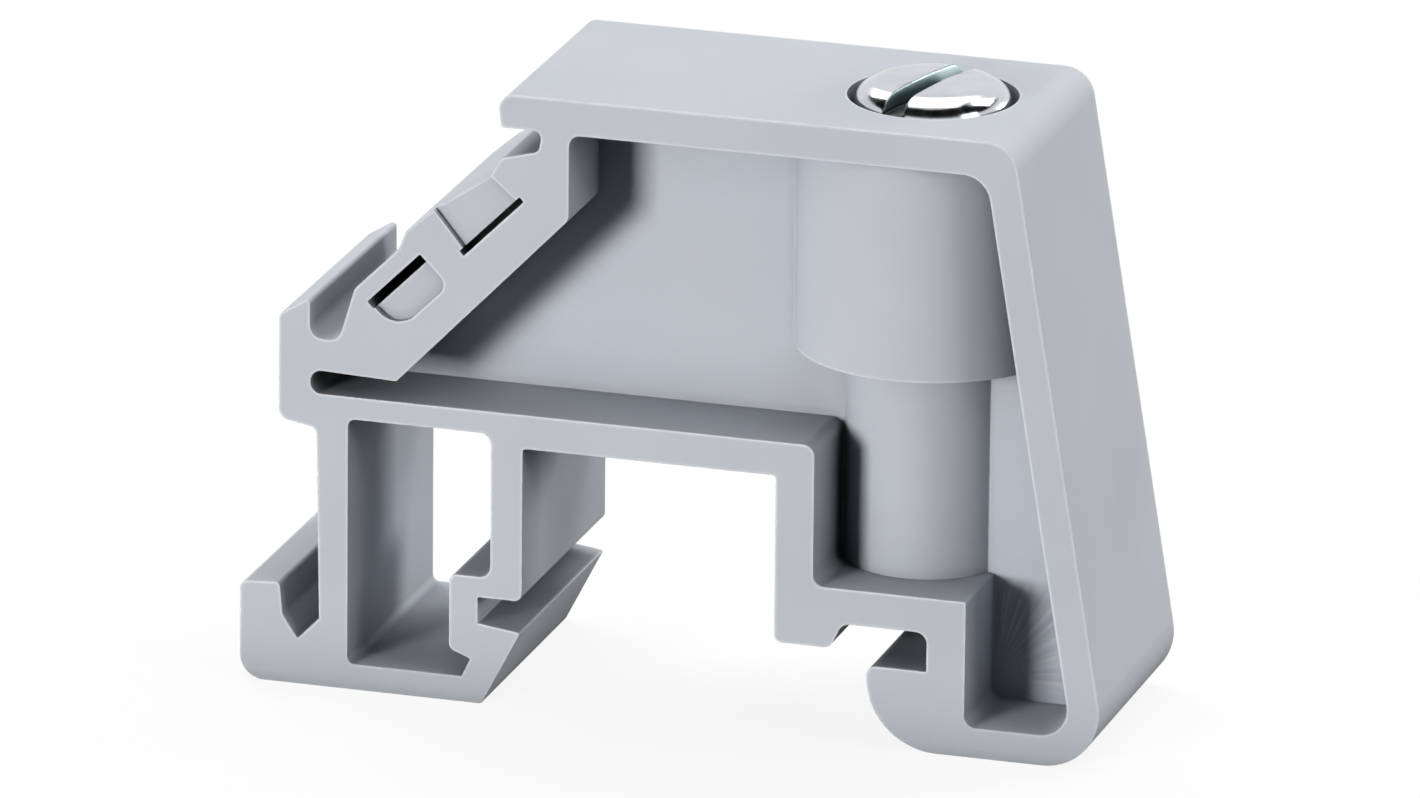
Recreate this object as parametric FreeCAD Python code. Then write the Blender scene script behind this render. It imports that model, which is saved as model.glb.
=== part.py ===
"""DIN rail end stop: a one-piece moulded clamp body and its slotted clamping screw.

Millimetres. X runs across the rail, Y along it, +Z away from it. The origin is on the
rail's centre line, in the plane that the rail's flanges seat against, half way along the
body. The photograph's right is +X and its front face is -Y.
"""
import FreeCAD, Part
import math
import os

from FreeCAD import Vector

# Rail that the body clamps
RAIL_WIDTH = 35.0
RAIL_PLAY = 0.5

# Body as a whole
DEPTH = 21.0
TOP_HEIGHT = 40.0
SOLE_DROP = 8.5
WALL = 2.5
WEB_SETBACK = 7.5
WEB_THICKNESS = 2.6

# Corner rounds that the outlines share, from the sharpest up
TIGHT_ROUND = 0.12
SMALL_ROUND = 0.3
MIDDLE_ROUND = 0.6
INNER_ROUND = 0.9
PLATE_ROUND = 2.2

# Left foot, which hooks under the rail's left flange
FOOT_WIDTH = 16.4
FOOT_FLOOR = 2.0
GROOVE_DEPTH = 3.5
GROOVE_HEIGHT = 2.1
GROOVE_FLARE = 0.45
GROOVE_BACK_WALL = 2.25
GROOVE_ROOF = 1.6
TOE_SLANT_RUN = 3.05
TOE_SETBACK = 0.1
HEEL_REACH = 6.1
HEEL_WIDTH = 3.15
HEEL_HEIGHT = 7.95
HEEL_FALL = 0.2
HEEL_ROUND = 1.9
HEEL_NOTCH_DEPTH = 4.35
HEEL_NOTCH_POINT = 1.8
HEEL_NOTCH_TAPER = 0.25

# Beam that joins the two feet over the rail
BEAM_TOP = 14.85
BEAM_THICKNESS = 2.65
WINDOW_LINTEL = 1.75
WINDOW_STEP_RUN = 1.7
WINDOW_STEP_DROP = 0.65
WINDOW_FOOT_RUN = 1.0

# Right foot, with the slot that the screw closes
BLOCK_WIDTH = 12.0
BLOCK_DROP = 1.0
BLOCK_FOOT = 4.4
SLOT_LEAD = 0.95
SLOT_TOP = 1.0
SLOT_HEIGHT = 3.1
SLOT_BACK_WALL = 3.0
STEP_WALL = 3.0
LEDGE_THICKNESS = 2.75
HOOK_REACH = 4.7
HOOK_ROUND = 5.55
HOOK_NOSE_ROUND = 0.75
PIT_FLOOR = 2.35

# Right wall, which leans outwards as it comes down
RIGHT_WALL_REACH = 12.9
RIGHT_WALL_LEAN = 9.56
TOP_CORNER_ROUND = 2.4
BOTTOM_CORNER_ROUND = 4.4
TOP_PLATE = 2.7

# Left lip and the channel behind it
SHOULDER_OVERHANG = 3.0
SHOULDER_HEIGHT = 12.65
SHOULDER_FALL = 0.5
LIP_TOP = 22.4
LIP_THICKNESS = 2.45
LIP_FALL = 1.5
CHANNEL_BOTTOM = 19.2
CHANNEL_WIDTH = 2.3
CHANNEL_ROUND = 1.1

# Slope with the marker tag seats, its places measured along and off the slope
CAVITY_LEFT = 7.0
SLOPE_RUN = 13.55
SLOPE_START = 16.5
SLOPE_TOP = 30.6
SLOPE_ANGLE = 45.0
NARROW_SLOT_RISE = 0.25
POCKET_START = 2.8
POCKET_LENGTH = 5.75
POCKET_FLOOR = 2.75
POCKET_HEIGHT = 3.2
POCKET_ROUND = 2.0
POCKET_DEPTH = 0.6
POCKET_SLIT = 0.75
POCKET_SLIT_REACH = 0.15
STRIP_THICKNESS = 1.35
STRIP_LENGTH = 4.9
RIDGE_WIDTH = 2.5
RIDGE_RUN = 1.5
RIDGE_RISE = 0.2
SEAT_START = 11.5
SEAT_LENGTH = 6.0
SEAT_FLOOR = 3.65
SEAT_DEPTH = 0.5
SEAT_DOVETAIL = 5.5
SEAT_WALL = 4.1
SEAT_UPPER_WALL = 3.1
SEAT_SLIT = 0.5
SEAT_SLIT_REACH = 0.35
SEAT_SLIT_DEPTH = 2.0

# Tip of the top plate, which overhangs the upper seat
TIP_REACH = 5.6
TIP_THICKNESS = 2.6
TIP_ROUND = 1.15
TIP_RAKE = 0.25
TIP_LENGTH = 3.5
TIP_STEP = 1.65
RIB_DROP = 2.45
RIB_WIDTH = 0.85

# Screw, its bosses and its bore
SCREW_INSET = 3.15
SCREW_DIAMETER = 6.0
SCREW_LENGTH = 35.0
SCREW_TIP_CHAMFER = 0.7
BORE_CLEARANCE = 0.05
HEAD_DIAMETER = 12.0
HEAD_HEIGHT = 3.6
HEAD_PROUD = 1.3
HEAD_SIDE_HEIGHT = 1.6
HEAD_FLAT_DIAMETER = 7.6
HEAD_BULGE = 0.707
HEAD_BULGE_RISE = 0.707
HEAD_CLEARANCE = 0.5
HEAD_SINK = 8.0
DRIVER_SLOT_WIDTH = 1.6
DRIVER_SLOT_DEPTH = 1.5
DRIVER_SLOT_TURN = 15.0
UPPER_BOSS_DIAMETER = 20.4
UPPER_BOSS_BOTTOM = 20.5
LOWER_BOSS_DIAMETER = 12.9

# How far a cutting solid runs past the face that it opens
CUT_MARGIN = 1.0

# Places worked out from the sizes above
front = -DEPTH / 2
sole = -SOLE_DROP
seat_left = -RAIL_WIDTH / 2
seat_right = RAIL_WIDTH / 2 + RAIL_PLAY
rail_wall_x = seat_left + GROOVE_DEPTH
leg_x = rail_wall_x - FOOT_WIDTH
body_left_x = leg_x - SHOULDER_OVERHANG
block_x = seat_right - BLOCK_WIDTH
beam_under = BEAM_TOP - BEAM_THICKNESS
ledge_z = SLOT_TOP + LEDGE_THICKNESS
screw_x = seat_right - SCREW_INSET
cavity_left_x = seat_left + CAVITY_LEFT


def right_wall_x(z):
    """X of the right wall's outer face at height z."""
    return seat_right + RIGHT_WALL_REACH - z * math.tan(math.radians(RIGHT_WALL_LEAN))


def slope_corner(along, off, radius):
    """Corner of an outline at a place given along the marker slope and off it."""
    turn = math.radians(SLOPE_ANGLE)
    x = cavity_left_x - SLOPE_RUN + along * math.cos(turn) - off * math.sin(turn)
    return (x, SLOPE_START + along * math.sin(turn) + off * math.cos(turn), radius)


def limited_reaches(points, reaches):
    """Each corner's rounding reach, cut down where a side is too short for both ends."""
    limited = list(reaches)
    for index, point in enumerate(points):
        other = (index + 1) % len(points)
        side = (points[other] - point).Length
        share = min(1.0, 0.98 * side / max(reaches[index] + reaches[other], 1e-9))
        limited[index] = min(limited[index], reaches[index] * share)
        limited[other] = min(limited[other], reaches[other] * share)
    return limited


def rounded_prism(corners, y, length):
    """Solid with a rounded outline in XZ that starts at y and runs length along +Y.

    Each corner is (x, z, radius). A radius is limited by the sides that it rounds.
    """
    points = [Vector(x, y, z) for x, z, radius in corners]
    following = points[1:] + points[:1]
    leading = points[-1:] + points[:-1]
    to_last = [(a - p).normalize() for a, p in zip(leading, points)]
    to_next = [(b - p).normalize() for b, p in zip(following, points)]
    half_turns = [a.getAngle(b) / 2 for a, b in zip(to_last, to_next)]
    wanted = [radius / math.tan(half) for (x, z, radius), half in zip(corners, half_turns)]
    reaches = limited_reaches(points, wanted)
    starts = [p + d * reach for p, d, reach in zip(points, to_last, reaches)]
    ends = [p + d * reach for p, d, reach in zip(points, to_next, reaches)]
    edges = []
    for index, point in enumerate(points):
        radius = reaches[index] * math.tan(half_turns[index])
        to_middle = radius / math.sin(half_turns[index]) - radius
        middle = point + (to_last[index] + to_next[index]).normalize() * to_middle
        edges.append(Part.Arc(starts[index], middle, ends[index]).toShape())
        edges.append(Part.makeLine(ends[index], starts[(index + 1) % len(points)]))
    return Part.Face(Part.Wire(edges)).extrude(Vector(0, length, 0))


def left_foot_outline():
    """Corners from the shoulder down the left leg, round the heel and toe, to the beam."""
    heel_x = leg_x - HEEL_REACH
    heel_top = sole + HEEL_HEIGHT
    notch_x = heel_x + HEEL_WIDTH
    notch_bottom = heel_top - HEEL_NOTCH_DEPTH
    notch_side_z = notch_bottom + HEEL_NOTCH_POINT
    toe_tip_x = rail_wall_x - TOE_SETBACK
    return [
        (body_left_x, SHOULDER_HEIGHT, INNER_ROUND),
        (leg_x, SHOULDER_HEIGHT - SHOULDER_FALL, MIDDLE_ROUND),
        (leg_x + HEEL_NOTCH_TAPER, notch_side_z, TIGHT_ROUND),
        ((notch_x + leg_x) / 2, notch_bottom, TIGHT_ROUND),
        (notch_x + HEEL_NOTCH_TAPER, notch_side_z, INNER_ROUND),
        (notch_x, heel_top, SMALL_ROUND),
        (heel_x, heel_top - HEEL_FALL, MIDDLE_ROUND),
        (heel_x, sole, HEEL_ROUND),
        (toe_tip_x - TOE_SLANT_RUN, sole, SMALL_ROUND),
        (toe_tip_x, -GROOVE_HEIGHT - GROOVE_FLARE, TIGHT_ROUND),
        (seat_left, -GROOVE_HEIGHT, TIGHT_ROUND),
        (seat_left, 0, TIGHT_ROUND),
        (rail_wall_x, 0, MIDDLE_ROUND),
        (rail_wall_x, beam_under, SMALL_ROUND),
    ]


def right_foot_outline():
    """Corners from the beam down the block, round the slot and hook, up to the top."""
    hook_x = seat_right - HOOK_REACH
    hook_top = SLOT_TOP - SLOT_HEIGHT
    block_end_x = block_x + BLOCK_FOOT
    return [
        (block_x, beam_under, SMALL_ROUND),
        (block_x, -BLOCK_DROP, MIDDLE_ROUND),
        (block_end_x, -BLOCK_DROP, INNER_ROUND),
        (block_end_x + SLOT_LEAD, SLOT_TOP, INNER_ROUND),
        (seat_right, SLOT_TOP, INNER_ROUND),
        (seat_right, hook_top, TIGHT_ROUND),
        (hook_x, hook_top, HOOK_NOSE_ROUND),
        (hook_x, sole, HOOK_ROUND),
        (right_wall_x(sole), sole, BOTTOM_CORNER_ROUND),
        (right_wall_x(TOP_HEIGHT), TOP_HEIGHT, TOP_CORNER_ROUND),
    ]


def tip_outline():
    """Corners of the top plate's tip and of the rib under it, down to the upper seat."""
    tip_x = cavity_left_x - TIP_REACH
    under_tip = TOP_HEIGHT - TIP_THICKNESS
    upper_mouth_x = seat_mouth()[0][0]
    return [
        (tip_x, TOP_HEIGHT, TIP_ROUND),
        (tip_x + TIP_RAKE, under_tip, SMALL_ROUND),
        (tip_x + TIP_LENGTH, under_tip, MIDDLE_ROUND),
        (tip_x + TIP_LENGTH - TIP_RAKE, under_tip - TIP_STEP, MIDDLE_ROUND),
        (upper_mouth_x + RIB_WIDTH, under_tip - RIB_DROP, INNER_ROUND),
    ]


def seat_mouth():
    """Upper and lower corner of the marker seat where it opens on the slope."""
    narrowing = math.tan(math.radians(SEAT_DOVETAIL)) * SEAT_WALL
    upper = SEAT_START + SEAT_LENGTH - narrowing
    return [
        slope_corner(upper, SEAT_FLOOR + SEAT_UPPER_WALL, TIGHT_ROUND),
        slope_corner(SEAT_START + narrowing, SEAT_FLOOR + SEAT_WALL, SMALL_ROUND),
    ]


def seat_outline():
    """Corners of the shallow dovetailed seat, which is open on the slope."""
    top = SEAT_FLOOR + SEAT_WALL + CUT_MARGIN
    narrowing = math.tan(math.radians(SEAT_DOVETAIL)) * (top - SEAT_FLOOR)
    end = SEAT_START + SEAT_LENGTH
    return [
        slope_corner(end - narrowing, top, TIGHT_ROUND),
        slope_corner(end, SEAT_FLOOR, TIGHT_ROUND),
        slope_corner(SEAT_START, SEAT_FLOOR, TIGHT_ROUND),
        slope_corner(SEAT_START + narrowing, top, TIGHT_ROUND),
    ]


def lip_outline():
    """Corners of the ridge, the thin strip over the pocket, the channel and the lip."""
    ridge_start = SEAT_START - RIDGE_WIDTH
    strip_top = POCKET_FLOOR + POCKET_HEIGHT + STRIP_THICKNESS
    strip_end = ridge_start - RIDGE_RUN
    lip_inner_x = body_left_x + LIP_THICKNESS
    return [
        slope_corner(ridge_start, SEAT_FLOOR + SEAT_WALL + RIDGE_RISE, SMALL_ROUND),
        slope_corner(strip_end, strip_top, MIDDLE_ROUND),
        slope_corner(strip_end - STRIP_LENGTH, strip_top, INNER_ROUND),
        (lip_inner_x + CHANNEL_WIDTH, CHANNEL_BOTTOM, CHANNEL_ROUND),
        (lip_inner_x, CHANNEL_BOTTOM, CHANNEL_ROUND),
        (lip_inner_x, LIP_TOP, SMALL_ROUND),
        (body_left_x, LIP_TOP - LIP_FALL, MIDDLE_ROUND),
    ]


def cavity_outline():
    """Corners of the recess that leaves the walls standing round the web."""
    slot_left_x = body_left_x + WALL
    under_plate = TOP_HEIGHT - TOP_PLATE
    step_x = block_x + STEP_WALL
    pit_x = seat_right + SLOT_BACK_WALL
    pit_floor = sole + PIT_FLOOR
    return [
        (cavity_left_x, under_plate, INNER_ROUND),
        (cavity_left_x, SLOPE_TOP, INNER_ROUND),
        slope_corner(0, 0, TIGHT_ROUND),
        (slot_left_x, SLOPE_START + NARROW_SLOT_RISE, INNER_ROUND),
        (slot_left_x, BEAM_TOP, INNER_ROUND),
        (step_x, BEAM_TOP, INNER_ROUND),
        (step_x, ledge_z, INNER_ROUND),
        (pit_x, ledge_z, TIGHT_ROUND),
        (pit_x, pit_floor, INNER_ROUND),
        (right_wall_x(pit_floor) - WALL, pit_floor, PLATE_ROUND),
        (right_wall_x(under_plate) - WALL, under_plate, PLATE_ROUND),
    ]


def window_outline():
    """Corners of the window through the left foot, which steps round the groove."""
    left_x = leg_x + WALL
    right_x = rail_wall_x - WALL
    groove_x = seat_left - GROOVE_BACK_WALL
    floor = sole + FOOT_FLOOR
    top = BEAM_TOP - WINDOW_LINTEL
    under_groove = -GROOVE_HEIGHT - GROOVE_BACK_WALL
    return [
        (left_x, floor, MIDDLE_ROUND),
        (groove_x + WINDOW_FOOT_RUN, floor, TIGHT_ROUND),
        (groove_x + WINDOW_STEP_RUN, under_groove - WINDOW_STEP_DROP, TIGHT_ROUND),
        (groove_x, under_groove, MIDDLE_ROUND),
        (groove_x, GROOVE_ROOF, MIDDLE_ROUND),
        (right_x, GROOVE_ROOF, INNER_ROUND),
        (right_x, top, INNER_ROUND),
        (left_x, top, MIDDLE_ROUND),
    ]


def pocket_outline():
    """Corners of the shallow pocket under the thin strip, rounded like a letter D."""
    end = POCKET_START + POCKET_LENGTH
    top = POCKET_FLOOR + POCKET_HEIGHT
    return [
        slope_corner(POCKET_START, top, TIGHT_ROUND),
        slope_corner(end, top, TIGHT_ROUND),
        slope_corner(end, POCKET_FLOOR, INNER_ROUND),
        slope_corner(POCKET_START, POCKET_FLOOR, POCKET_ROUND),
    ]


def slit_outline(start, end, bottom, height):
    """Corners of a slit that runs along the slope, from its places along and off it."""
    return [
        slope_corner(start, bottom + height, TIGHT_ROUND),
        slope_corner(end, bottom + height, TIGHT_ROUND),
        slope_corner(end, bottom, TIGHT_ROUND),
        slope_corner(start, bottom, TIGHT_ROUND),
    ]


def pocket_slit_outline():
    """Corners of the slit along the pocket's roof, which takes a marker's edge."""
    end = POCKET_START + POCKET_LENGTH
    bottom = POCKET_FLOOR + POCKET_HEIGHT - POCKET_SLIT
    return slit_outline(POCKET_START - POCKET_SLIT_REACH, end, bottom, POCKET_SLIT)


def seat_slit_outline():
    """Corners of the slit along the seat's floor, which takes a marker's claw."""
    end = SEAT_START + SEAT_LENGTH + SEAT_SLIT_REACH
    return slit_outline(SEAT_START - SEAT_SLIT_REACH, end, SEAT_FLOOR, SEAT_SLIT)


def sunk_in_both_faces(corners, depth):
    """Two cutting solids that sink one outline into the front face and the back face."""
    return [
        rounded_prism(corners, front - CUT_MARGIN, depth + CUT_MARGIN),
        rounded_prism(corners, -front - depth, depth + CUT_MARGIN),
    ]


def standing(radius, bottom, top):
    """Upright cylinder on the screw's axis."""
    return Part.makeCylinder(radius, top - bottom, Vector(screw_x, 0, bottom))


def screw_bosses(prism):
    """Wide upper boss and slim lower boss, trimmed to the body's outer faces."""
    upper = standing(UPPER_BOSS_DIAMETER / 2, UPPER_BOSS_BOTTOM, TOP_HEIGHT)
    lower = standing(LOWER_BOSS_DIAMETER / 2, SLOT_TOP, TOP_HEIGHT)
    return upper.fuse(lower).common(prism)


def clamp_body():
    """The moulding: one solid with its feet, web, bosses and marker seats."""
    outline = tip_outline() + seat_mouth() + lip_outline()
    outline += left_foot_outline() + right_foot_outline()
    prism = rounded_prism(outline, front, DEPTH)
    back_depth = DEPTH - WEB_SETBACK - WEB_THICKNESS
    through = DEPTH + 2 * CUT_MARGIN
    recesses = [
        rounded_prism(cavity_outline(), front - CUT_MARGIN, WEB_SETBACK + CUT_MARGIN),
        rounded_prism(cavity_outline(), -front - back_depth, back_depth + CUT_MARGIN),
        rounded_prism(window_outline(), front - CUT_MARGIN, through),
        rounded_prism(pocket_slit_outline(), front - CUT_MARGIN, through),
    ]
    recesses += sunk_in_both_faces(pocket_outline(), POCKET_DEPTH)
    recesses += sunk_in_both_faces(seat_outline(), SEAT_DEPTH)
    recesses += sunk_in_both_faces(seat_slit_outline(), SEAT_SLIT_DEPTH)
    solid = prism.cut(recesses).fuse(screw_bosses(prism)).removeSplitter()
    head_radius = HEAD_DIAMETER / 2 + HEAD_CLEARANCE
    thread_radius = SCREW_DIAMETER / 2 + BORE_CLEARANCE
    head_hole = standing(head_radius, TOP_HEIGHT - HEAD_SINK, TOP_HEIGHT + CUT_MARGIN)
    thread_hole = standing(thread_radius, SLOT_TOP - CUT_MARGIN, TOP_HEIGHT)
    return solid.cut([head_hole, thread_hole])


def clamping_screw():
    """Slotted pan head screw, raised, with its head just proud of the top face."""
    head_top = TOP_HEIGHT + HEAD_PROUD
    head_under = head_top - HEAD_HEIGHT
    side_top_z = head_under + HEAD_SIDE_HEIGHT
    tip = head_under - SCREW_LENGTH
    radius = SCREW_DIAMETER / 2
    head_radius = HEAD_DIAMETER / 2
    flat_radius = HEAD_FLAT_DIAMETER / 2
    side_top = Vector(head_radius, 0, side_top_z)
    flat_edge = Vector(flat_radius, 0, head_top)
    bulge = Vector(
        flat_radius + HEAD_BULGE * (head_radius - flat_radius),
        0,
        side_top_z + HEAD_BULGE_RISE * (head_top - side_top_z),
    )
    points = [
        flat_edge,
        Vector(0, 0, head_top),
        Vector(0, 0, tip),
        Vector(radius - SCREW_TIP_CHAMFER, 0, tip),
        Vector(radius, 0, tip + SCREW_TIP_CHAMFER),
        Vector(radius, 0, head_under),
        Vector(head_radius, 0, head_under),
        side_top,
    ]
    edges = [Part.makeLine(a, b) for a, b in zip(points, points[1:])]
    edges.append(Part.Arc(side_top, bulge, flat_edge).toShape())
    screw = Part.Face(Part.Wire(edges)).revolve(Vector(0, 0, 0), Vector(0, 0, 1), 360)
    slot = Part.makeBox(
        DRIVER_SLOT_WIDTH,
        HEAD_DIAMETER + 2 * CUT_MARGIN,
        DRIVER_SLOT_DEPTH + CUT_MARGIN,
        Vector(-DRIVER_SLOT_WIDTH / 2, -head_radius - CUT_MARGIN, head_top - DRIVER_SLOT_DEPTH),
    )
    slot.rotate(Vector(0, 0, 0), Vector(0, 0, 1), -DRIVER_SLOT_TURN)
    screw = screw.cut(slot)
    screw.translate(Vector(screw_x, 0, 0))
    return screw


os.makedirs("parts", exist_ok=True)
clamp_body().exportStep("parts/clamp_body.step")
clamping_screw().exportStep("parts/clamping_screw.step")
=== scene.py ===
"""Studio scene of a DIN rail end stop.

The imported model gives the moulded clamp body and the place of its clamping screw. This
script dresses the body in light grey polyamide, builds the screw with its thread, and
lights both on a pale floor as in the photograph. Blender's lengths are metres. Sizes of
the pieces are kept in millimetres and turned into metres by MM.
"""
import logging
import math
from collections.abc import Iterable
from dataclasses import dataclass, field
from enum import Enum

import bmesh
import bpy
from mathutils import Matrix, Vector


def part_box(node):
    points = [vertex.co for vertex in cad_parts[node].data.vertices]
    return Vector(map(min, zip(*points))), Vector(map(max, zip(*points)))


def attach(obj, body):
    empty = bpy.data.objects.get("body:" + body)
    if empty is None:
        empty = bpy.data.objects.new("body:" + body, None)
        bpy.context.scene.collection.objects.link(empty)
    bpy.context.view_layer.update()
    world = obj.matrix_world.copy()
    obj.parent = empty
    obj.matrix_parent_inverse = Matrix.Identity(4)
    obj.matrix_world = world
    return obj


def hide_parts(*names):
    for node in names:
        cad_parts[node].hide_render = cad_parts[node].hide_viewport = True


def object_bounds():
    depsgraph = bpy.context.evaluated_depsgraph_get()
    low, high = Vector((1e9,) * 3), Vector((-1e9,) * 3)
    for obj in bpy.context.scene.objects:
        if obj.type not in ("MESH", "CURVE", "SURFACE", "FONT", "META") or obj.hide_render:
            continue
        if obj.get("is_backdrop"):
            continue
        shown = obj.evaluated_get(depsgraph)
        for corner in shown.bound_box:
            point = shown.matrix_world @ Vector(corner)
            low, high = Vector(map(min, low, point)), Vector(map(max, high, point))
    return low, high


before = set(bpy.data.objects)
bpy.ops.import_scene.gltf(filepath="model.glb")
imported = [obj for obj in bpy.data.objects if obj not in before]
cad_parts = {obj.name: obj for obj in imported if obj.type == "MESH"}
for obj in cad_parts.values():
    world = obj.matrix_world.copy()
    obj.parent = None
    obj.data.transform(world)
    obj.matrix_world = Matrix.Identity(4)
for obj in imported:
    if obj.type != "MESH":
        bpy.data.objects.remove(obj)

MM = 0.001
BODY_NODE = "clamp_body"
SCREW_NODE = "clamping_screw"
SCREW_BODY = "screw"

# Rays that each surface point sends out to find its edges and its creases.
EDGE_RAYS = 3
CREASE_RAYS = 2
# Blender's noise seldom leaves this range.
NOISE_RANGE = (0.3, 0.7)
# Numbers of the Mix node's sockets, which share their names.
FACTOR, FIRST_VECTOR, SECOND_VECTOR, FIRST_COLOUR, SECOND_COLOUR = 0, 4, 5, 6, 7
MIXED_VECTOR, MIXED_COLOUR = 1, 2

log = logging.getLogger("end_stop")

Colour = tuple[float, float, float]
Span = tuple[float, float]
Socket = bpy.types.NodeSocket
Value = float | tuple[float, ...] | Socket


def metres(span: Span, start: float = 0.0) -> Span:
    """Turns a span in millimetres into metres.

    Args:
        span: The span's two ends.
        start: Where the ends are counted from, in millimetres.

    Returns:
        The two ends in metres.
    """
    return (start + span[0]) * MM, (start + span[1]) * MM


@dataclass(frozen=True)
class Patches:
    """Soft noise over a surface: patches in a metre, finer layers and the range of the result."""

    per_metre: float
    layers: float
    low: float = 0.0
    high: float = 1.0


@dataclass(frozen=True)
class Relief:
    """Fine relief that is drawn by a bump: its depth in metres and its strength."""

    depth: float
    strength: float


@dataclass(frozen=True)
class EdgeRound:
    """Round of an edge, drawn in the shading only.

    The reach is in metres. The turns are away from the flat face, as one less their cosine,
    where the mask starts and where it is full. The share is how much of the round the light
    shows, 0 for a crisp edge and 1 for a full round.
    """

    reach: float
    turns: Span
    share: float


class Graph:
    """Node tree of a material or of the world, with short calls to add and join nodes."""

    def __init__(self, tree: bpy.types.NodeTree) -> None:
        """Clears the tree.

        Args:
            tree: The node tree that is filled.
        """
        self.tree = tree
        tree.nodes.clear()

    def add(
        self, kind: str, inputs: dict[str | int, Value] | None = None, **settings: object
    ) -> bpy.types.Node:
        """Adds one node.

        Args:
            kind: The node's type without its leading "ShaderNode".
            inputs: Values or sockets for its inputs, by name or by number.
            settings: Settings of the node itself, such as its operation.

        Returns:
            The new node.
        """
        node = self.tree.nodes.new("ShaderNode" + kind)
        for name, setting in settings.items():
            setattr(node, name, setting)
        for name, value in (inputs or {}).items():
            socket = node.inputs[name]
            if isinstance(value, Socket):
                self.tree.links.new(value, socket)
            elif socket.type == "RGBA" and len(value) == 3:
                socket.default_value = (*value, 1.0)
            else:
                socket.default_value = value
        return node

    def math(self, operation: str, first: Value, second: Value = 0.0) -> Socket:
        """Result of one sum on two numbers.

        Args:
            operation: The Math node's operation.
            first: The first number or socket.
            second: The second number or socket.

        Returns:
            The result's socket.
        """
        return self.add("Math", {0: first, 1: second}, operation=operation).outputs[0]

    def product(self, first: Value, *others: Value) -> Socket:
        """All of the numbers multiplied.

        Args:
            first: The first number or socket.
            others: The other numbers or sockets.

        Returns:
            The result's socket.
        """
        for other in others:
            first = self.math("MULTIPLY", first, other)
        return first

    def ramp(self, value: Value, span: Span, low: float = 0.0, high: float = 1.0) -> Socket:
        """A number moved from one range to another and held inside it.

        Args:
            value: The number's socket.
            span: The values that give low and high.
            low: The lowest result.
            high: The highest result.

        Returns:
            The result's socket.
        """
        ranges = {"From Min": span[0], "From Max": span[1], "To Min": low, "To Max": high}
        return self.add("MapRange", {"Value": value, **ranges}, clamp=True).outputs["Result"]

    def noise(self, patches: Patches) -> Socket:
        """Soft noise over the object's own coordinates.

        Args:
            patches: The noise's scale, layers and range.

        Returns:
            The result's socket.
        """
        place = self.add("TexCoord").outputs["Object"]
        settings = {"Vector": place, "Scale": patches.per_metre, "Detail": patches.layers}
        noise = self.add("TexNoise", settings).outputs["Fac"]
        return self.ramp(noise, NOISE_RANGE, patches.low, patches.high)

    def blend(self, factor: Value, first: Value, second: Value) -> Socket:
        """Mix of two colours.

        Args:
            factor: The share of the second colour.
            first: The first colour.
            second: The second colour.

        Returns:
            The mixed colour's socket.
        """
        inputs = {FACTOR: factor, FIRST_COLOUR: first, SECOND_COLOUR: second}
        return self.add("Mix", inputs, data_type="RGBA", clamp_result=True).outputs[MIXED_COLOUR]

    def softened_edges(self, edge: EdgeRound) -> tuple[Socket, Socket]:
        """Softened edges and a mask of where they are.

        Args:
            edge: The round of the edges.

        Returns:
            The softened normal's socket and the mask's socket.
        """
        full = self.add("Bevel", {"Radius": edge.reach}, samples=EDGE_RAYS).outputs["Normal"]
        sides = self.add("NewGeometry").outputs
        pair = {0: full, 1: sides["True Normal"]}
        turn = self.add("VectorMath", pair, operation="DOT_PRODUCT").outputs["Value"]
        inputs = {FACTOR: edge.share, FIRST_VECTOR: sides["Normal"], SECOND_VECTOR: full}
        part = self.add("Mix", inputs, data_type="VECTOR").outputs[MIXED_VECTOR]
        normal = self.add("VectorMath", {0: part}, operation="NORMALIZE").outputs["Vector"]
        return normal, self.ramp(self.math("SUBTRACT", 1.0, turn), edge.turns)

    def openness(self, reach: float) -> Socket:
        """How free the surface lies, 0 deep in a crease and 1 in the open.

        Args:
            reach: How far away another surface still counts, in metres.

        Returns:
            The share's socket.
        """
        return self.add("AmbientOcclusion", {"Distance": reach}, samples=CREASE_RAYS).outputs["AO"]

    def bump(self, height: Value, normal: Value, relief: Relief) -> Socket:
        """Normal of a fine relief.

        Args:
            height: The relief's height, from 0 to 1.
            normal: The normal that it lies on.
            relief: Its depth and strength.

        Returns:
            The new normal's socket.
        """
        settings = {"Strength": relief.strength, "Distance": relief.depth}
        return self.add("Bump", {"Height": height, "Normal": normal, **settings}).outputs[0]

    def shown_ray(self) -> Socket:
        """Tells rays that show a backdrop, also mirrored or through glass, from rays that light.

        Returns:
            The socket, 1 for a ray that shows and 0 for a ray that lights.
        """
        rays = self.add("LightPath").outputs
        mirrored = self.math("MAXIMUM", rays["Is Glossy Ray"], rays["Is Transmission Ray"])
        return self.math("MAXIMUM", rays["Is Camera Ray"], mirrored)

    def finish(self, shader: bpy.types.Node, kind: str = "OutputMaterial") -> None:
        """Joins the last shader to the tree's output.

        Args:
            shader: The last shader node.
            kind: The output node's type.
        """
        self.add(kind, {"Surface": shader.outputs[0]})


def new_material(name: str) -> tuple[bpy.types.Material, Graph]:
    """Makes a material with an empty graph.

    Args:
        name: The material's name.

    Returns:
        The material and its graph.
    """
    material = bpy.data.materials.new(name)
    material.use_nodes = True
    return material, Graph(material.node_tree)


def add_object(name: str, data: bpy.types.ID) -> bpy.types.Object:
    """Adds an object to the scene.

    Args:
        name: The object's name.
        data: Its mesh, lamp or camera.

    Returns:
        The object.
    """
    item = bpy.data.objects.new(name, data)
    bpy.context.scene.collection.objects.link(item)
    return item


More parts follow.
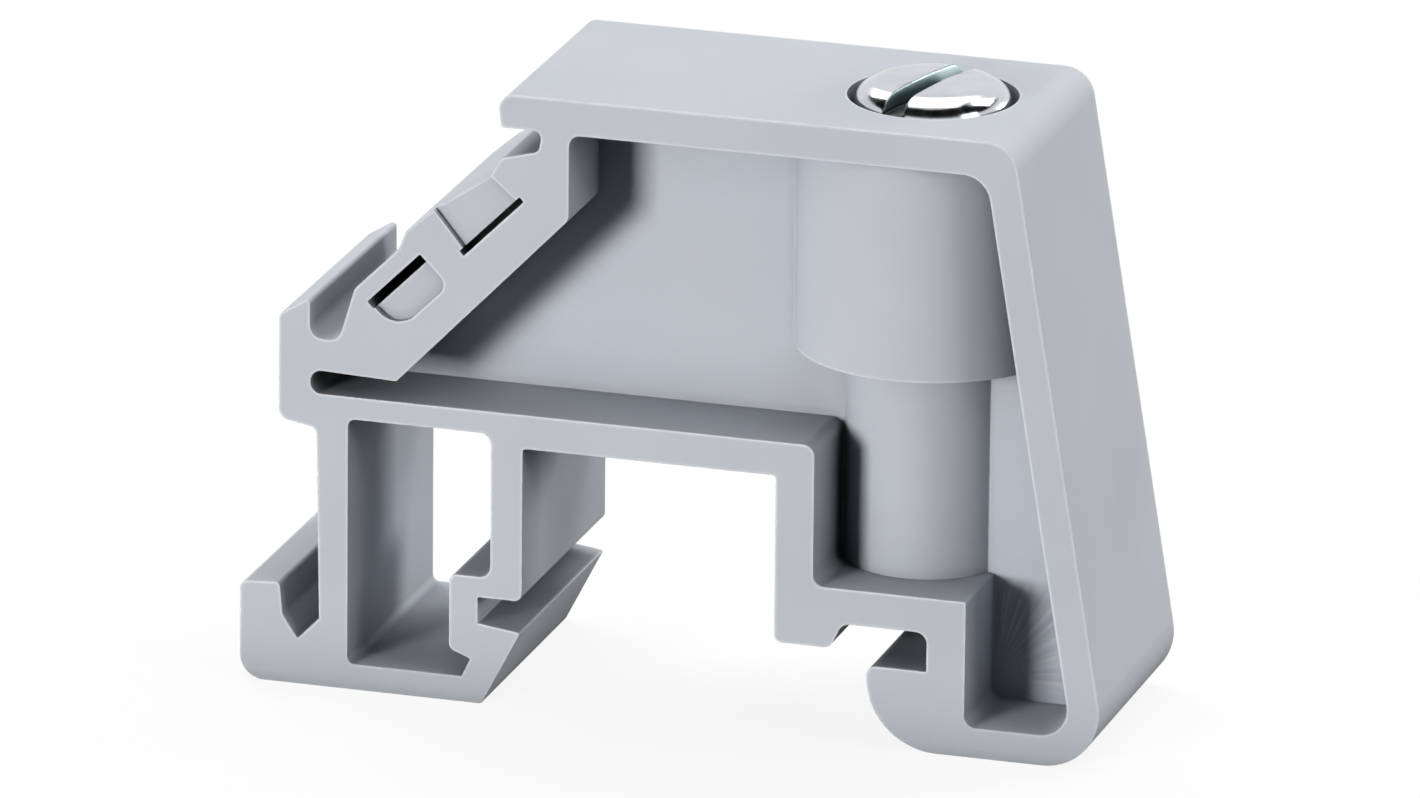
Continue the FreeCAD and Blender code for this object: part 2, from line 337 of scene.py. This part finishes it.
def mesh_object(
    name: str, shape: bmesh.types.BMesh, material: bpy.types.Material
) -> bpy.types.Object:
    """Turns a finished shape into an object.

    Args:
        name: The object's name.
        shape: The shape, freed here.
        material: The object's material.

    Returns:
        The object.
    """
    mesh = bpy.data.meshes.new(name)
    shape.to_mesh(mesh)
    shape.free()
    mesh.materials.append(material)
    return add_object(name, mesh)


@dataclass(frozen=True)
class ToolMarks:
    """Fan of fine lines that the mould's cutter left on the web beside the screw.

    Places are in millimetres, seen from the front. Each span runs from where the lines are
    gone to where they are full.
    """

    colour: Colour = (0.27, 0.29, 0.33)
    colour_share: float = 0.7
    middle: Span = (21.2, -4.4)
    reach: Span = (2.0, 3.2)
    left: Span = (20.6, 21.2)
    right: Span = (28.7, 28.4)
    top: Span = (3.6, 2.2)
    web_y: float = -3.0
    web_reach: Span = (0.6, 0.4)
    lines: float = 9.0
    layers: float = 3.0
    contrast: Span = (0.35, 0.65)
    relief: Relief = Relief(depth=0.06 * MM, strength=0.6)

    def height(self, graph: Graph) -> Socket:
        """Height of the lines.

        Args:
            graph: The material's graph.

        Returns:
            The height's socket, 0 away from the fan.
        """
        place = graph.add("TexCoord").outputs["Object"]
        spot = graph.add("SeparateXYZ", {0: place}).outputs
        across = graph.math("SUBTRACT", spot["X"], self.middle[0] * MM)
        up = graph.math("SUBTRACT", spot["Z"], self.middle[1] * MM)
        turn = graph.math("ARCTAN2", up, across)
        settings = {"W": turn, "Scale": self.lines, "Detail": self.layers}
        lines = graph.add("TexNoise", settings, noise_dimensions="1D").outputs["Fac"]
        square = graph.math("ADD", graph.math("POWER", across, 2.0), graph.math("POWER", up, 2.0))
        off_web = graph.math("ABSOLUTE", graph.math("SUBTRACT", spot["Y"], self.web_y * MM))
        return graph.product(
            graph.ramp(graph.math("SQRT", square), metres(self.reach)),
            graph.ramp(off_web, metres(self.web_reach)),
            graph.ramp(spot["Z"], metres(self.top)),
            graph.ramp(spot["X"], metres(self.left)),
            graph.ramp(spot["X"], metres(self.right)),
            graph.ramp(lines, self.contrast),
        )


@dataclass(frozen=True)
class Polyamide:
    """Light grey polyamide, matte from a finely eroded mould, with painted highlights on its outer
    edges and painted shade in its creases.
    """

    colour: Colour = (0.50, 0.53, 0.57)
    cloudy_colour: Colour = (0.475, 0.505, 0.545)
    # Pale colour painted on the outer edges as a highlight.
    edge_highlight_colour: Colour = (0.86, 0.88, 0.91)
    # Dark colour painted into creases and seams as shade.
    crease_shade_colour: Colour = (0.12, 0.13, 0.14)
    clouds: Patches = Patches(70.0, 3.0)
    edge: EdgeRound = EdgeRound(reach=0.35 * MM, turns=(0.01, 0.14), share=0.4)
    edge_openness: Span = (0.8, 0.97)
    edge_highlight_patches: Patches = Patches(900.0, 2.0, 0.7, 1.0)
    crease_reach: float = 6.5 * MM
    crease_openness: Span = (0.62, 0.1)
    seam_reach: float = 0.9 * MM
    seam_openness: Span = (0.95, 0.5)
    seam_shade_share: float = 0.45
    roughness: Patches = Patches(160.0, 4.0, 0.72, 0.84)
    specular: float = 0.15
    grain: Patches = Patches(5200.0, 2.0)
    grain_relief: Relief = Relief(depth=0.008 * MM, strength=0.35)
    marks: ToolMarks = ToolMarks()

    def material(self) -> bpy.types.Material:
        """Builds the material.

        Returns:
            The material.
        """
        material, graph = new_material("light_grey_polyamide")
        rounded, edges = graph.softened_edges(self.edge)
        colour = graph.blend(graph.noise(self.clouds), self.colour, self.cloudy_colour)
        openness = graph.openness(self.crease_reach)
        outer = graph.ramp(openness, self.edge_openness)
        # Painted highlight: outer edges are lightened in patches, standing in for light caught by
        # their rounds.
        painted_edge_highlight = graph.product(edges, outer, graph.noise(self.edge_highlight_patches))
        colour = graph.blend(painted_edge_highlight, colour, self.edge_highlight_colour)
        # Painted shade: creases and narrow seams are darkened in the colour where shade falls in
        # them.
        narrow = graph.ramp(graph.openness(self.seam_reach), self.seam_openness)
        seam_shade = graph.product(narrow, self.seam_shade_share)
        painted_crease_shade = graph.math("MAXIMUM", seam_shade, graph.ramp(openness, self.crease_openness))
        colour = graph.blend(painted_crease_shade, colour, self.crease_shade_colour)
        marks = self.marks.height(graph)
        colour = graph.blend(
            graph.product(marks, self.marks.colour_share), colour, self.marks.colour
        )
        normal = graph.bump(marks, rounded, self.marks.relief)
        normal = graph.bump(graph.noise(self.grain), normal, self.grain_relief)
        sockets = {
            "Base Color": colour,
            "Roughness": graph.noise(self.roughness),
            "Normal": normal,
            "Specular IOR Level": self.specular,
        }
        graph.finish(graph.add("BsdfPrincipled", sockets))
        return material


@dataclass(frozen=True)
class SlotPlace:
    """Where the driver's slot lies, in millimetres, and its turn in degrees."""

    axis_x: float
    top_z: float
    floor_z: float
    width: float
    turn: float


@dataclass(frozen=True)
class PlatedSteel:
    """Bright plated steel with fine pits, and painted shade with more roughness in the driver's
    slot.

    The painted shade's spans are in millimetres, from where it is gone to where it is full: beyond
    the slot's walls, from its top down, from under its floor up, and from over its floor
    down to the darker painted shade there.
    """

    colour: Colour = (0.60, 0.62, 0.65)
    dull_colour: Colour = (0.48, 0.50, 0.53)
    # The next two colours are painted shade: the driver's slot, and its floor darker still.
    slot_shade_colour: Colour = (0.17, 0.22, 0.22)
    floor_colour: Colour = (0.025, 0.03, 0.032)
    clouds: Patches = Patches(420.0, 4.0, 0.0, 0.6)
    edge: EdgeRound = EdgeRound(reach=0.12 * MM, turns=(0.03, 0.3), share=1.0)
    roughness: Patches = Patches(900.0, 4.0, 0.10, 0.20)
    edge_roughness: float = 0.06
    slot_roughness: float = 0.2
    slot_shade_beyond: Span = (0.16, 0.12)
    slot_shade_top: Span = (0.0, -0.05)
    slot_shade_end: Span = (-0.2, -0.1)
    slot_shade_floor: Span = (0.3, 0.1)
    pits: Patches = Patches(6000.0, 2.0)
    pit_relief: Relief = Relief(depth=0.004 * MM, strength=0.15)

    def slot_shade_masks(self, graph: Graph, cut: SlotPlace) -> tuple[Socket, Socket]:
        """Masks of the driver's slot, where shade is painted into the colour and roughness is
        raised.

        Args:
            graph: The material's graph.
            cut: Where the slot lies.

        Returns:
            The masks' sockets, 1 in the whole slot and 1 on its floor.
        """
        place = graph.add("TexCoord").outputs["Object"]
        turn = math.radians(cut.turn)
        pair = {0: place, 1: (math.cos(turn), math.sin(turn), 0.0)}
        across = graph.add("VectorMath", pair, operation="DOT_PRODUCT").outputs["Value"]
        middle = cut.axis_x * MM * math.cos(turn)
        off = graph.math("ABSOLUTE", graph.math("SUBTRACT", across, middle))
        height = graph.add("SeparateXYZ", {0: place}).outputs["Z"]
        slot_shade = graph.product(
            graph.ramp(off, metres(self.slot_shade_beyond, cut.width / 2)),
            graph.ramp(height, metres(self.slot_shade_top, cut.top_z)),
            graph.ramp(height, metres(self.slot_shade_end, cut.floor_z)),
        )
        # Mask of the slot's floor, where darker shade is painted.
        low = graph.ramp(height, metres(self.slot_shade_floor, cut.floor_z))
        return slot_shade, graph.product(slot_shade, low)

    def material(self, cut: SlotPlace) -> bpy.types.Material:
        """Builds the material.

        Args:
            cut: Where the driver's slot lies.

        Returns:
            The material.
        """
        material, graph = new_material("bright_plated_steel")
        rounded, edges = graph.softened_edges(self.edge)
        slot_shade, floor = self.slot_shade_masks(graph, cut)
        colour = graph.blend(graph.noise(self.clouds), self.colour, self.dull_colour)
        # Painted shade: the slot is darkened, and its floor darker still, where shade falls in it.
        colour = graph.blend(slot_shade, colour, self.slot_shade_colour)
        colour = graph.blend(floor, colour, self.floor_colour)
        rough = graph.noise(self.roughness)
        for mask, more in ((edges, self.edge_roughness), (slot_shade, self.slot_roughness)):
            rough = graph.math("ADD", rough, graph.product(mask, more))
        sockets = {
            "Base Color": colour,
            "Roughness": rough,
            "Normal": graph.bump(graph.noise(self.pits), rounded, self.pit_relief),
            "Metallic": 1.0,
        }
        graph.finish(graph.add("BsdfPrincipled", sockets))
        return material


@dataclass
class ClampBody:
    """The one-piece moulding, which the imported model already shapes."""

    node: str = BODY_NODE
    finish: Polyamide = field(default_factory=Polyamide)

    def dress(self) -> bpy.types.Object:
        """Gives the moulding its finish.

        Returns:
            The moulding's object.
        """
        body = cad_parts[self.node]
        material = self.finish.material()
        for place in body.material_slots:
            place.material = material
        return body


class Boundary(Enum):
    """Which end of the screw's shank a cut closes."""

    TIP = -1
    HEAD = 1


@dataclass
class ClampingScrew:
    """Slotted pan head screw with its metric thread, in millimetres and degrees.

    The thread's outline gives, for one pitch, the share of its depth and of its pitch.
    """

    head_diameter: float = 12.0
    head_height: float = 3.6
    head_side_height: float = 1.6
    head_flat_diameter: float = 7.6
    head_flat_fall: float = 0.03
    head_crown_fall: float = 0.12
    head_edge_round: float = 0.12
    head_edge_steps: int = 2
    head_steps: int = 96
    shoulder_steps: int = 12
    slot_width: float = 1.6
    slot_depth: float = 1.5
    slot_turn: float = -15.0
    thread_diameter: float = 5.98
    thread_pitch: float = 1.0
    thread_depth: float = 0.58
    thread_outline: tuple[Span, ...] = (
        (1.0, 0.0), (1.0, 0.14), (0.0, 0.46), (0.0, 0.64), (1.0, 0.96), (1.0, 1.0)
    )
    thread_steps: int = 40
    tip_chamfer: float = 0.7
    rounded_turn: float = 40.0
    smooth_turn: float = 30.0
    touching: float = 1e-3
    head_merge: float = 1e-4
    thread_merge: float = 1e-3
    finish: PlatedSteel = field(default_factory=PlatedSteel)

    def __post_init__(self) -> None:
        """Reads the screw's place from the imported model."""
        low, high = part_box(SCREW_NODE)
        self.axis_x = (low.x + high.x) / 2 / MM
        self.tip_z = low.z / MM
        self.top_z = high.z / MM
        self.under_z = self.top_z - self.head_height
        self.floor_z = self.top_z - self.slot_depth

    def head_profile(self) -> list[Vector]:
        """Half outline of the head, from its middle out and down to the shank.

        Returns:
            The outline's corners.
        """
        radius, flat = self.head_diameter / 2, self.head_flat_diameter / 2
        side_top = self.under_z + self.head_side_height
        rise = self.top_z - self.head_crown_fall - side_top
        points = [Vector((0, 0, self.top_z))]
        points.append(Vector((flat / 2, 0, self.top_z - self.head_flat_fall)))
        for step in range(self.shoulder_steps + 1):
            turn = math.pi / 2 * (1 - step / self.shoulder_steps)
            out = flat + (radius - flat) * math.cos(turn)
            points.append(Vector((out, 0, side_top + rise * math.sin(turn))))
        return points + [Vector((radius, 0, self.under_z)), Vector((0, 0, self.under_z))]

    def spun_head(self) -> bmesh.types.BMesh:
        """Spins the head's outline into a closed head without its slot.

        Returns:
            The head round the Z axis.
        """
        head = bmesh.new()
        corners = [head.verts.new(point) for point in self.head_profile()]
        edges = [head.edges.new(pair) for pair in zip(corners, corners[1:])]
        bmesh.ops.spin(
            head,
            geom=corners + edges,
            cent=(0, 0, 0),
            axis=(0, 0, 1),
            angle=math.tau,
            steps=self.head_steps,
            use_merge=True,
        )
        bmesh.ops.remove_doubles(head, verts=head.verts, dist=self.head_merge)
        bmesh.ops.recalc_face_normals(head, faces=head.faces)
        return head

    def cut_slot(self, head: bmesh.types.BMesh) -> None:
        """Cuts the driver's slot across the head.

        Args:
            head: The closed head, cut in place.
        """
        half = self.slot_width / 2
        for side in (-half, half):
            whole = head.verts[:] + head.edges[:] + head.faces[:]
            bmesh.ops.bisect_plane(head, geom=whole, plane_co=(side, 0, 0), plane_no=(1, 0, 0))
        middle = [face for face in head.faces if abs(face.calc_center_median().x) < half]
        around = {edge for face in middle for edge in face.edges}
        around |= {vert for face in middle for vert in face.verts}
        bmesh.ops.bisect_plane(
            head, geom=middle + list(around), plane_co=(0, 0, self.floor_z), plane_no=(0, 0, 1)
        )
        centres = {face: face.calc_center_median() for face in head.faces}
        gone = [f for f, spot in centres.items() if abs(spot.x) < half and spot.z > self.floor_z]
        bmesh.ops.delete(head, geom=gone, context="FACES")
        self.close_slot(head, half)

    def close_slot(self, head: bmesh.types.BMesh, half: float) -> None:
        """Closes the slot with its floor and its two walls, and softens its edges.

        Args:
            head: The head, open where the slot is.
            half: Half the slot's width.
        """
        near, floor = self.touching, self.floor_z
        rim = {vert for edge in head.edges if edge.is_boundary for vert in edge.verts}
        for side in (-half, half):
            ends = [v for v in rim if abs(v.co.x - side) < near and abs(v.co.z - floor) < near]
            head.edges.new(sorted(ends, key=lambda vert: vert.co.y))
        bare = [edge for edge in head.edges if len(edge.link_faces) < 2]
        loops = [
            [edge for edge in bare if all(abs(v.co[axis] - place) < near for v in edge.verts)]
            for axis, place in ((0, -half), (0, half), (2, floor))
        ]
        for loop in loops:
            bmesh.ops.contextual_create(head, geom=loop)
        bmesh.ops.recalc_face_normals(head, faces=head.faces)
        least = math.radians(self.rounded_turn)
        closed = [edge for edge in head.edges if len(edge.link_faces) == 2]
        high = [edge for edge in closed if edge.verts[0].co.z > floor - near]
        bmesh.ops.bevel(
            head,
            geom=[edge for edge in high if edge.calc_face_angle() > least],
            offset=self.head_edge_round,
            segments=self.head_edge_steps,
            profile=0.5,
            affect="EDGES",
            material=-1,
        )

    def threaded_shank(self) -> bmesh.types.BMesh:
        """Spins one pitch of the thread down the shank and closes its two ends.

        Returns:
            The shank round the Z axis.
        """
        shank = bmesh.new()
        crest, pitch = self.thread_diameter / 2, self.thread_pitch
        start_z = self.tip_z - pitch
        corners = [
            shank.verts.new((crest - depth * self.thread_depth, 0, start_z + rise * pitch))
            for depth, rise in self.thread_outline
        ]
        edges = [shank.edges.new(pair) for pair in zip(corners, corners[1:])]
        turns = math.ceil((self.under_z - self.tip_z) / pitch) + 1
        bmesh.ops.spin(
            shank,
            geom=corners + edges,
            cent=(0, 0, 0),
            axis=(0, 0, 1),
            dvec=(0, 0, pitch / self.thread_steps),
            angle=math.tau * turns,
            steps=turns * self.thread_steps,
        )
        bmesh.ops.remove_doubles(shank, verts=shank.verts, dist=self.thread_merge)
        for end in Boundary:
            self.close_end(shank, end)
        self.chamfer_tip(shank)
        bmesh.ops.recalc_face_normals(shank, faces=shank.faces)
        return shank

    def close_end(self, shank: bmesh.types.BMesh, end: Boundary) -> None:
        """Cuts the thread off square at one end and caps it.

        Args:
            shank: The thread, cut in place.
            end: Which end is closed.
        """
        place = self.tip_z if end is Boundary.TIP else self.under_z
        cut = bmesh.ops.bisect_plane(
            shank,
            geom=shank.verts[:] + shank.edges[:] + shank.faces[:],
            plane_co=(0, 0, place),
            plane_no=(0, 0, end.value),
            clear_outer=True,
        )
        rim = [item for item in cut["geom_cut"] if isinstance(item, bmesh.types.BMEdge)]
        bmesh.ops.contextual_create(shank, geom=rim)

    def chamfer_tip(self, shank: bmesh.types.BMesh) -> None:
        """Pulls the thread's first turn in to a cone, as a lathe points it.

        Args:
            shank: The thread, changed in place.
        """
        tip_radius = self.thread_diameter / 2 - self.tip_chamfer
        for vert in shank.verts:
            reach = math.hypot(vert.co.x, vert.co.y)
            most = tip_radius + (vert.co.z - self.tip_z)
            if reach > most:
                vert.co.x *= most / reach
                vert.co.y *= most / reach

    def build(self) -> bpy.types.Object:
        """Builds the screw in its place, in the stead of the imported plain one.

        Returns:
            The screw's object.
        """
        head = self.spun_head()
        self.cut_slot(head)
        turn = Matrix.Rotation(math.radians(self.slot_turn), 3, "Z")
        bmesh.ops.rotate(head, verts=head.verts, cent=(0, 0, 0), matrix=turn)
        whole = bmesh.new()
        mesh = bpy.data.meshes.new("slotted_screw")
        for shape in (head, self.threaded_shank()):
            shape.to_mesh(mesh)
            shape.free()
            whole.from_mesh(mesh)
        bmesh.ops.translate(whole, verts=whole.verts, vec=(self.axis_x, 0, 0))
        bmesh.ops.scale(whole, verts=whole.verts, vec=(MM, MM, MM))
        whole.to_mesh(mesh)
        whole.free()
        mesh.shade_smooth()
        mesh.set_sharp_from_angle(angle=math.radians(self.smooth_turn))
        cut = SlotPlace(self.axis_x, self.top_z, self.floor_z, self.slot_width, self.slot_turn)
        mesh.materials.append(self.finish.material(cut))
        screw = add_object("slotted_screw", mesh)
        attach(screw, SCREW_BODY)
        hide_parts(SCREW_NODE)
        return screw


def direction(azimuth: float, elevation: float) -> Vector:
    """Way out from the part.

    Args:
        azimuth: Degrees round from the front towards +X.
        elevation: Degrees up from the floor.

    Returns:
        The way as a vector of length one.
    """
    turn, rise = math.radians(azimuth), math.radians(elevation)
    flat = math.cos(rise)
    return Vector((math.sin(turn) * flat, -math.cos(turn) * flat, math.sin(rise)))


@dataclass(frozen=True)
class Softbox:
    """A square lamp aimed at the part, placed by its angles."""

    name: str
    azimuth: float
    elevation: float
    power: float
    size: float = 0.4
    distance: float = 1.0

    def light(self, aim: Vector) -> None:
        """Adds the lamp.

        Args:
            aim: The point that it shines at.
        """
        lamp = bpy.data.lights.new(self.name, "AREA")
        lamp.shape = "SQUARE"
        lamp.size = self.size
        lamp.energy = self.power
        holder = add_object(self.name, lamp)
        toward = direction(self.azimuth, self.elevation)
        holder.location = aim + toward * self.distance
        holder.rotation_euler = toward.to_track_quat("Z", "Y").to_euler()


@dataclass
class Studio:
    """Floor, world, lamps, flag and camera, in metres and degrees."""

    floor_span: float = 8.0
    floor_bounce: Colour = (0.02, 0.02, 0.02)
    floor_colour: Colour = (0.9, 0.9, 0.9)
    shadow_share: float = 0.12
    white: Colour = (1.0, 1.0, 1.0)
    sky: float = 0.01
    aim_mm: tuple[float, float, float] = (-2.439, 0.0, 14.138)
    camera_azimuth: float = 17.0
    camera_elevation: float = 17.98
    camera_roll: float = -0.58
    camera_distance: float = 1.21393
    camera_reach: float = 20.0
    focal_pixels: float = 16000.0
    photo_width: float = 1420.0
    sensor_mm: float = 36.0
    flag_colour: Colour = (0.01, 0.01, 0.01)
    flag_distance: float = 1.6
    flag_azimuths: Span = (-120.0, 150.0)
    flag_elevations: Span = (27.0, 70.0)
    flag_steps: int = 24
    lamps: tuple[Softbox, ...] = (
        Softbox("key", azimuth=-26.0, elevation=7.0, power=10.5, size=0.25),
        Softbox("high_right", azimuth=133.0, elevation=45.0, power=3.0),
        Softbox("high_left", azimuth=-130.0, elevation=45.0, power=3.2),
        Softbox("side", azimuth=135.0, elevation=7.0, power=5.0, size=0.22),
        Softbox("rim", azimuth=75.0, elevation=22.0, power=2.3),
        Softbox("crown", azimuth=197.0, elevation=75.0, power=6.6, size=0.9),
    )

    def lay_floor(self, level: float) -> None:
        """Lays the pale floor that the part stands on.

        Args:
            level: The floor's height.
        """
        plane = bmesh.new()
        bmesh.ops.create_grid(plane, x_segments=1, y_segments=1, size=self.floor_span / 2)
        bmesh.ops.translate(plane, verts=plane.verts, vec=(0, 0, level))
        floor = mesh_object("floor", plane, self.floor_material())
        floor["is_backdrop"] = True

    def floor_material(self) -> bpy.types.Material:
        """Pale floor that keeps a faint shadow and throws little light back up.

        Returns:
            The floor's material.
        """
        material, graph = new_material("pale_floor")
        dim = graph.add("BsdfDiffuse", {"Color": self.floor_bounce}).outputs[0]
        pale = graph.add("BsdfDiffuse", {"Color": self.floor_colour}).outputs[0]
        white = graph.add("Emission", {"Color": self.white, "Strength": 1.0}).outputs[0]
        shown = graph.add("MixShader", {0: self.shadow_share, 1: white, 2: pale}).outputs[0]
        graph.finish(graph.add("MixShader", {0: graph.shown_ray(), 1: dim, 2: shown}))
        return material

    def light_world(self) -> None:
        """Fills the world with even light and shows it white behind the part."""
        world = bpy.data.worlds.new("studio")
        bpy.context.scene.world = world
        world.use_nodes = True
        graph = Graph(world.node_tree)
        strength = graph.ramp(graph.shown_ray(), (0.0, 1.0), self.sky, 1.0)
        sky = graph.add("Background", {"Color": self.white, "Strength": strength})
        graph.finish(sky, "OutputWorld")

    def hang_flag(self) -> None:
        """Hangs a curved black card round the part, which draws the dark line in the plated head.

        The card shows in mirrors only, so it hides nothing from a camera above it.
        """
        card = bmesh.new()
        ends = [direction(0.0, rise) * self.flag_distance for rise in self.flag_elevations]
        edge = card.edges.new([card.verts.new(end) for end in ends])
        first, last = (math.radians(turn) for turn in self.flag_azimuths)
        start = Matrix.Rotation(first, 3, "Z")
        bmesh.ops.rotate(card, verts=card.verts, cent=(0, 0, 0), matrix=start)
        bmesh.ops.spin(
            card,
            geom=[*edge.verts, edge],
            cent=(0, 0, 0),
            axis=(0, 0, 1),
            angle=last - first,
            steps=self.flag_steps,
        )
        bmesh.ops.translate(card, verts=card.verts, vec=Vector(self.aim_mm) * MM)
        material, graph = new_material("black_flag")
        graph.finish(graph.add("BsdfDiffuse", {"Color": self.flag_colour}))
        flag = mesh_object("flag", card, material)
        flag.visible_camera = False
        flag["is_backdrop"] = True

    def place_camera(self) -> None:
        """Puts the camera where the photograph was taken from."""
        camera = bpy.data.cameras.new("camera")
        camera.sensor_width = self.sensor_mm
        camera.lens = self.focal_pixels * self.sensor_mm / self.photo_width
        camera.clip_end = self.camera_reach
        holder = add_object("camera", camera)
        back = direction(self.camera_azimuth, self.camera_elevation)
        holder.location = Vector(self.aim_mm) * MM + back * self.camera_distance
        upright = back.to_track_quat("Z", "Y").to_matrix()
        roll = Matrix.Rotation(math.radians(-self.camera_roll), 3, "Z")
        holder.rotation_euler = (upright @ roll).to_euler()
        bpy.context.scene.camera = holder

    def build(self, low: Vector, high: Vector) -> None:
        """Builds the studio round the part.

        Args:
            low: The part's lowest corner.
            high: The part's highest corner.
        """
        self.lay_floor(low.z)
        self.light_world()
        self.hang_flag()
        for lamp in self.lamps:
            lamp.light((low + high) / 2)
        self.place_camera()
        bpy.context.scene.view_settings.view_transform = "Standard"


def main() -> None:
    """Builds each piece and the studio, and reports them."""
    logging.basicConfig(level=logging.INFO, format="%(name)s: %(message)s")
    cad_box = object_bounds()
    for piece in (ClampBody().dress(), ClampingScrew().build()):
        log.info("%s with %d faces", piece.name, len(piece.data.polygons))
    Studio().build(*cad_box)


if __name__ == "__main__":
    main()
